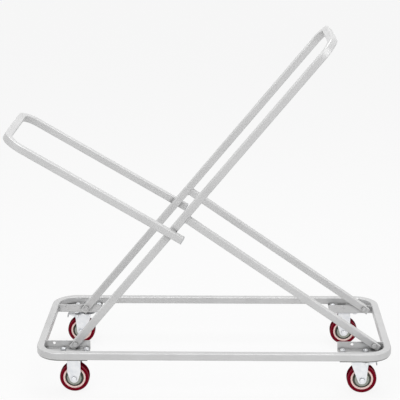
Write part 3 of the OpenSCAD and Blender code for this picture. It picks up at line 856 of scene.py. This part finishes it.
class TROLLEY_OT_turn_wheels(bpy.types.Operator):
    """Turn the four wheels: tyre, core, thread guards and bearings"""

    bl_idname = "trolley.turn_wheels"
    bl_label = "Turn wheels"

    def execute(self, context):
        for corner in CORNERS:
            low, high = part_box(f"tyre_{corner}")
            centre, wheel_r = (low + high) / 2, (high.z - low.z) / 2
            self.tyre(corner, centre, wheel_r, high.y - low.y)
            self.core(corner, centre)
            self.guards(corner, centre)
            self.bearings(corner, centre)
        return {"FINISHED"}

    def wheel_piece(self, kind, corner, mesh, finish):
        material, slot = finish
        mesh.materials.append(finish_of(material))
        new_piece(f"{kind}_turned_{corner}", mesh, f"wheel_{corner}", slot, f"{kind}_{corner}")

    def tyre(self, corner, centre, wheel_r, width):
        depth, shoulder, crown, ease = 11 * MM, 4.5 * MM, 0.35 * MM, 0.8 * MM
        slant, steps, sharp = 4, 8, 50
        tread_drop, tread_fade = 1.4 * MM, 1.0 * MM
        half, rim_r = width / 2, wheel_r - depth
        at = half - shoulder
        profile = [(rim_r, -half + ease), (rim_r + ease, -half)]
        profile += arc((wheel_r - shoulder - crown, -at), shoulder, -90, -slant, steps)
        profile += [(wheel_r - crown * (y / at) ** 2, y) for y in (-0.5 * at, 0, 0.5 * at)]
        profile += arc((wheel_r - shoulder - crown, at), shoulder, slant, 90, steps)
        profile += [(rim_r + ease, half), (rim_r, half - ease)]
        mesh = turned("tyre", profile, centre, degrees=sharp)
        tread = mesh.attributes.new("tread", "FLOAT", "POINT")
        for value, vertex in zip(tread.data, mesh.vertices):
            r = math.hypot(vertex.co.x - centre.x, vertex.co.z - centre.z)
            value.value = min(1, max(0, (r - wheel_r + tread_drop) / tread_fade))
        self.wheel_piece("tyre", corner, mesh, TYRE)

    def core(self, corner, centre):
        rim_r, rim_inner, rim_half = 33.45 * MM, 28 * MM, 14 * MM
        web_half, hub_r, hub_half, bore_r = 5 * MM, 20 * MM, 16 * MM, 14.05 * MM
        ease = 0.9 * MM
        section = [
            (bore_r, -hub_half),
            (hub_r, -hub_half),
            (hub_r, -web_half),
            (rim_inner, -web_half),
            (rim_inner, -rim_half),
            (rim_r, -rim_half),
        ]
        section += [(r, -y) for r, y in reversed(section)]
        mesh = turned("core", eased_profile(section, ease), centre)
        self.wheel_piece("core", corner, mesh, CORE)

    def guards(self, corner, centre):
        inner, outer, low, high = 20.05 * MM, 27.95 * MM, 10 * MM, 12 * MM
        lip, dish, ease = 1.2 * MM, 0.6 * MM, 0.4 * MM
        section = [
            (inner, low),
            (outer, low),
            (outer, high),
            (outer - lip, high),
            (outer - 2 * lip, high - dish),
            (inner + lip, high - dish),
            (inner, high - dish / 2),
        ]
        mesh = self.both_sides("guards", section, ease, centre)
        self.wheel_piece("guards", corner, mesh, GUARD)

    def bearings(self, corner, centre):
        bore, cup_r, cup_low, face = 6.05 * MM, 14 * MM, 6 * MM, 16 * MM
        flange_r, flange_top, nose_r, nose_top = 21.5 * MM, 17.5 * MM, 9 * MM, 19.7 * MM
        groove, groove_r, slant, ease = 0.7 * MM, 11.5 * MM, 1.6 * MM, 0.5 * MM
        section = [
            (bore, cup_low),
            (cup_r, cup_low),
            (cup_r, face),
            (flange_r, face),
            (flange_r, flange_top),
            (groove_r + slant, flange_top),
            (groove_r, flange_top - groove),
            (nose_r, flange_top - groove),
            (nose_r, nose_top),
            (bore, nose_top),
        ]
        mesh = self.both_sides("bearings", section, ease, centre)
        self.wheel_piece("bearings", corner, mesh, OILED)

    def both_sides(self, name, section, ease, centre):
        """A section turned on both sides of the wheel's middle."""
        rings = []
        for side in (-1, 1):
            profile = eased_profile([(r, side * y) for r, y in section], ease, steps=2)
            rings.append(turned(name, profile, centre))
        return smooth(joined(name, rings), SHARP)


class TROLLEY_OT_lay_welds(bpy.types.Operator):
    """Lay the weld beads of the brackets, the frames and the fixed forks"""

    bl_idname = "trolley.lay_welds"
    bl_label = "Lay welds"

    def execute(self, context):
        sizes = context.scene.trolley_sizes
        painted = self.bracket_seams() + self.crossing_seams() + self.brace_seams()
        self.lay(sizes, "frame_welds", painted, PAINT)
        self.lay(sizes, "fork_welds", self.fork_seams(), ZINC)
        return {"FINISHED"}

    def lay(self, sizes, name, seams, finish):
        """One piece of weld beads along seams, each of its points and whether it closes."""
        material, slot = finish
        sharp = 60
        points, edges = [], []
        for seam, closed in seams:
            first = len(points)
            points += [tuple(p) for p in seam]
            edges += [(first + i, first + i + 1) for i in range(len(seam) - 1)]
            if closed:
                edges.append((len(points) - 1, first))
        source = bpy.data.meshes.new(name)
        source.from_pydata(points, edges, [])
        tree = bpy.data.node_groups.get(BEAD_TREE) or bead_tree()
        values = {
            "Bead Radius": sizes.bead,
            "Ripple Spacing": sizes.ripple,
            "Material": finish_of(material),
        }
        new_piece(name, smooth(grown(name, source, tree, values), sharp), FRAME_BODY, slot)

    def bracket_seams(self):
        """Stitches between each bracket and the ring, and up the end of its flange."""
        low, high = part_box("base_ring")
        tube, middle = tube_width(), (low.x + high.x) / 2
        rail_x, rail_y = high.x - middle - tube, high.y - tube
        off, flange_off = 0.6 * MM, 0.4 * MM
        stitch_shares, stitch_share = (0.05, 0.42), 0.19
        end_from, end_to = 7 * MM, 21 * MM
        climb_from, climb_short = 6 * MM, 1.5 * MM
        seams = []
        for corner in CORNERS:
            side_x = -1 if "left" in corner else 1
            side_y = -1 if "front" in corner else 1
            b_low, b_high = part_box(f"bracket_{corner}")
            z = b_low.z + SHEET + off
            free = min(abs(b_low.x - middle), abs(b_high.x - middle))
            length = rail_x - free
            flange_y = min(abs(b_low.y), abs(b_high.y))

            def at(x, y, height):
                return Vector((middle + side_x * x, side_y * y, height))

            for start in stitch_shares:
                run = [free + length * (start + stitch_share * s) for s in (0, 1)]
                seams.append(([at(x, rail_y - off, z) for x in run], False))
            run = (flange_y + end_from, flange_y + end_to)
            seams.append(([at(rail_x - off, y, z) for y in run], False))
            climb = (b_low.z + climb_from, b_high.z - climb_short)
            for y in (flange_y - flange_off, flange_y + SHEET + flange_off):
                seams.append(([at(rail_x - off, y, height) for height in climb], False))
        return seams

    def crossing_seams(self):
        """Stitches round each lap of a back frame rail on a seat frame leg."""
        seat, back, _ = slopes()
        cross = feet()[0] + LAP_FROM_FOOT * seat
        tube, lap_y = tube_width(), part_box("seat_frame")[1].y
        short, off = 2 * MM, 0.4 * MM
        seams = []
        for side in (-1, 1):
            for along, other in ((seat, back), (back, seat)):
                across = Vector((-along.y, along.x))
                slant = (tube / 2 - short) / abs(other.x * along.y - other.y * along.x)
                for edge in (-1, 1):
                    middle = cross + across * edge * (tube / 2 - off)
                    y = side * (lap_y - (off if along is seat else -off))
                    ends = [middle + along * s * slant for s in (-1, 1)]
                    seams.append(([Vector((p.x, y, p.y)) for p in ends], False))
        return seams

    def brace_seams(self):
        """A bead all round the top of each brace, on the underside of the seat frame."""
        seat, _, brace = slopes()
        tube = tube_width()
        down = Vector((seat.y, -seat.x))
        seat_foot, brace_foot = feet()
        start = seat_foot + down * tube / 2
        gap = brace_foot - start
        turn = seat.x * brace.y - seat.y * brace.x
        reach = (gap.x * brace.y - gap.y * brace.x) / turn
        top = start + seat * reach
        leg_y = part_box("seat_frame")[1].y - tube / 2
        half_run = tube / 2 / abs(turn)
        corner_r, inset, off, steps = 3 * MM, 0.5 * MM, 0.3 * MM, 4
        seams = []
        for side in (-1, 1):
            loop = []
            for turns, x, y in ((0, 1, 1), (90, -1, 1), (180, -1, -1), (270, 1, -1)):
                centre = (x * (half_run - corner_r), y * (tube / 2 - inset - corner_r))
                for u, v in arc(centre, corner_r, turns, turns + 90, steps):
                    p = top + seat * u + down * off
                    loop.append(Vector((p.x, side * leg_y + v, p.y)))
            seams.append((loop, True))
        return seams

    def fork_seams(self):
        """Stitches where the fixed forks' crowns meet their plates."""
        half, off, drop = 15 * MM, 0.5 * MM, 0.8 * MM
        seams = []
        for corner in FIXED_CORNERS:
            low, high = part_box(f"fork_{corner}")
            middle_y = (low.y + high.y) / 2
            for x in (low.x - off, high.x + off):
                run = [Vector((x, middle_y + s * half, high.z - drop)) for s in (-1, 1)]
                seams.append((run, False))
        return seams


class TROLLEY_OT_set_stage(bpy.types.Operator):
    """Set the floor, the light and the camera"""

    bl_idname = "trolley.set_stage"
    bl_label = "Set stage"

    def execute(self, context):
        stage = context.scene.trolley_stage
        self.floor(stage)
        self.world(context.scene)
        for lamp in LAMPS:
            self.lamp(*lamp)
        self.camera(context.scene, stage)
        context.scene.view_settings.view_transform = "Standard"
        return {"FINISHED"}

    def shown_white(self, tree):
        """Share of a ray that sees the backdrop: camera, glossy and transmission rays."""
        path = add(tree, "ShaderNodeLightPath").outputs
        inputs = {0: path["Is Camera Ray"], 1: path["Is Glossy Ray"]}
        first = add(tree, MATH, inputs, operation="MAXIMUM")
        inputs = {0: first, 1: path["Is Transmission Ray"]}
        return add(tree, MATH, inputs, operation="MAXIMUM")

    def floor(self, stage):
        half, white_share = 40.0, 0.88
        corners = [(x * half, y * half, 0) for x, y in ((-1, -1), (1, -1), (1, 1), (-1, 1))]
        mesh = bpy.data.meshes.new("floor")
        mesh.from_pydata(corners, [], [(0, 1, 2, 3)])
        piece = bpy.data.objects.new("floor", mesh)
        bpy.context.scene.collection.objects.link(piece)
        material, tree, _ = new_material("pale_floor")
        plain = add(tree, "ShaderNodeBsdfPrincipled", {"Base Color": stage.floor, "Roughness": 0.9})
        # Mostly white to the eye, so that the floor keeps only a soft shadow
        glow = add(tree, "ShaderNodeEmission", {"Color": WHITE, "Strength": 1.0})
        inputs = {0: self.shown_white(tree), 1: white_share}
        share = add(tree, MATH, inputs, operation="MULTIPLY")
        mixed = add(tree, "ShaderNodeMixShader", {0: share, 1: plain, 2: glow})
        add(tree, "ShaderNodeOutputMaterial", {"Surface": mixed})
        mesh.materials.append(material)

    def world(self, scene):
        world = bpy.data.worlds.new("studio")
        world.use_nodes = True
        tree = world.node_tree
        tree.nodes.clear()
        soft = add(tree, "ShaderNodeBackground", {"Color": WHITE, "Strength": 0.4})
        white = add(tree, "ShaderNodeBackground", {"Color": WHITE, "Strength": 1.0})
        mixed = add(tree, "ShaderNodeMixShader", {0: self.shown_white(tree), 1: soft, 2: white})
        add(tree, "ShaderNodeOutputWorld", {"Surface": mixed})
        scene.world = world

    def lamp(self, name, place, size, power):
        light = bpy.data.lights.new(name, "AREA")
        light.shape, light.size, light.energy = "SQUARE", size, power
        lamp = bpy.data.objects.new(name, light)
        lamp.location = place
        aim = LAMP_AIM - Vector(place)
        lamp.rotation_euler = aim.to_track_quat("-Z", "Y").to_euler()
        lamp.visible_camera = False
        bpy.context.scene.collection.objects.link(lamp)

    def camera(self, scene, stage):
        lens = bpy.data.cameras.new("camera")
        lens.lens, lens.sensor_width = stage.lens, 36.0
        lens.clip_end = 100.0
        camera = bpy.data.objects.new("camera", lens)
        turn = Matrix.Rotation(stage.camera_turn, 4, "Z")
        tilt = Matrix.Rotation(math.pi / 2 - stage.camera_tilt, 4, "X")
        roll = Matrix.Rotation(stage.camera_roll, 4, "Z")
        camera.matrix_world = Matrix.Translation(stage.camera_at) @ turn @ tilt @ roll
        scene.collection.objects.link(camera)
        scene.camera = camera


class TROLLEY_PT_sidebar(bpy.types.Panel):
    """Lists the trolley's pieces and their settings"""

    bl_idname = "TROLLEY_PT_sidebar"
    bl_label = "Stacking trolley"
    bl_space_type = "VIEW_3D"
    bl_region_type = "UI"
    bl_category = "Trolley"

    def draw(self, context):
        for operator in OPERATORS:
            self.layout.operator(operator.bl_idname)
        for name in SETTINGS:
            group = getattr(context.scene, name)
            box = self.layout.box()
            for prop in group.bl_rna.properties:
                if prop.identifier not in ("rna_type", "name"):
                    box.prop(group, prop.identifier)


SETTINGS = {
    "trolley_finish": TrolleyFinish,
    "trolley_sizes": TrolleySizes,
    "trolley_stage": TrolleyStage,
}
OPERATORS = (
    TROLLEY_OT_set_stage,
    TROLLEY_OT_coat_frames,
    TROLLEY_OT_plate_casters,
    TROLLEY_OT_fit_plugs,
    TROLLEY_OT_fit_bolts,
    TROLLEY_OT_turn_wheels,
    TROLLEY_OT_lay_welds,
)
CLASSES = (*SETTINGS.values(), *OPERATORS, TROLLEY_PT_sidebar)


def register():
    for cls in CLASSES:
        bpy.utils.register_class(cls)
    for name, group in SETTINGS.items():
        setattr(bpy.types.Scene, name, bpy.props.PointerProperty(type=group))


def unregister():
    for name in SETTINGS:
        delattr(bpy.types.Scene, name)
    for cls in reversed(CLASSES):
        bpy.utils.unregister_class(cls)


def main():
    register()
    bpy.ops.trolley.set_stage()
    bpy.ops.trolley.coat_frames()
    bpy.ops.trolley.plate_casters()
    bpy.ops.trolley.fit_plugs()
    bpy.ops.trolley.fit_bolts()
    bpy.ops.trolley.turn_wheels()
    bpy.ops.trolley.lay_welds()


if __name__ == "__main__":
    main()
